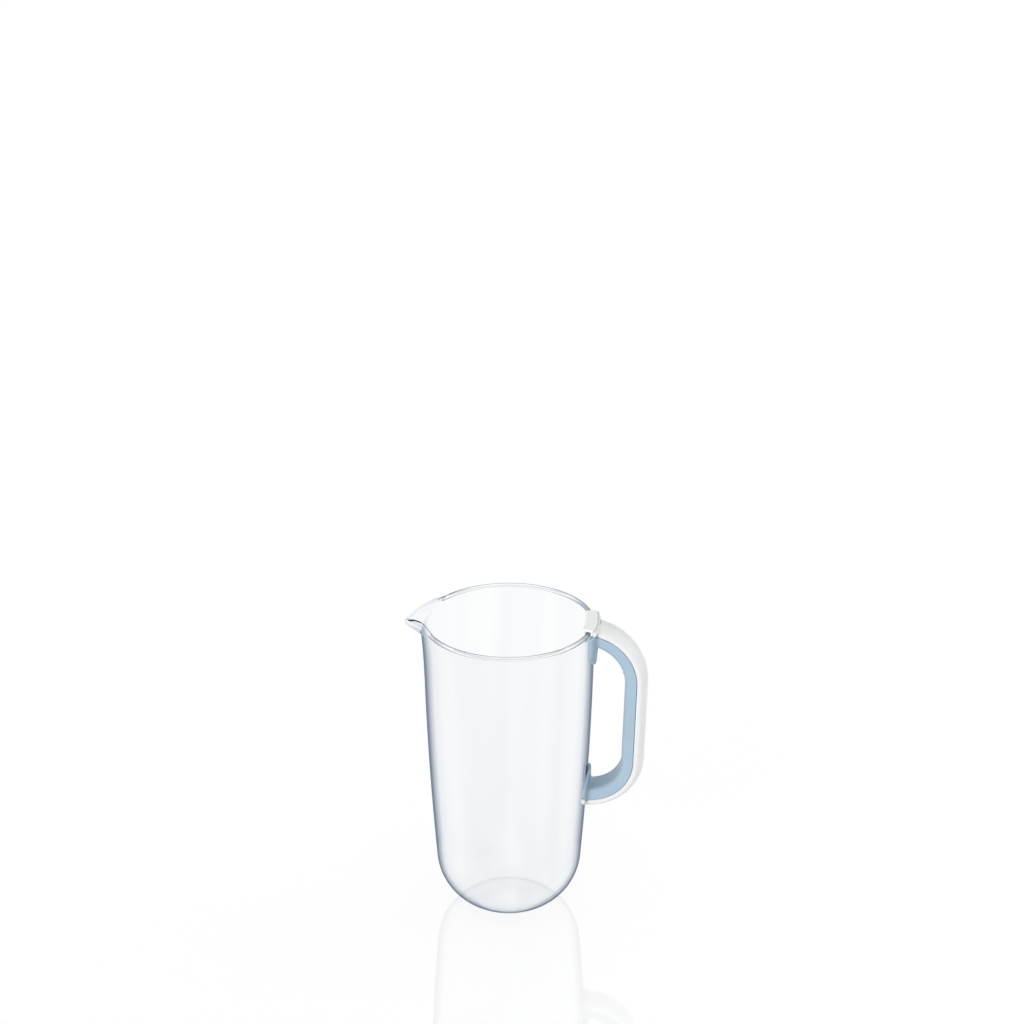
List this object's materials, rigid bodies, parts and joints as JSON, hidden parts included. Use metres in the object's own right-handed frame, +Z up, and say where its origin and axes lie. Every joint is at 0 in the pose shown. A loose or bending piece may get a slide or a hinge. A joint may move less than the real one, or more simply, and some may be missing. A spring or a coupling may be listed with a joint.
{
  "type": "water jug",
  "caption": "Tall clear glass water jug with a pinched pouring lip and a loop handle: a blue moulded grip bonded to the glass, a white crowned cover and a clip over the rim.",
  "frame": {"origin": "On the table under the jug's axis, at the centre of the foot ring.", "axes": "+Z is up, the pouring lip points along -X, the handle along +X, and Y runs across the handle."},
  "size_m": [0.1908, 0.134, 0.2511],
  "materials": {
    "clear_glass": "clear, fire-polished",
    "blue_plastic": "fine satin moulding",
    "white_plastic": "semi-gloss moulding",
    "pale_plastic": "half-clear moulding",
    "clear_adhesive": "clear film"
  },
  "bodies": {
    "root": {"glass_jug": "clear_glass", "handle_grip": "blue_plastic", "handle_cover": "white_plastic", "rim_clip": "pale_plastic", "upper_bond": "clear_adhesive", "lower_bond": "clear_adhesive"}
  },
  "joints": []
}
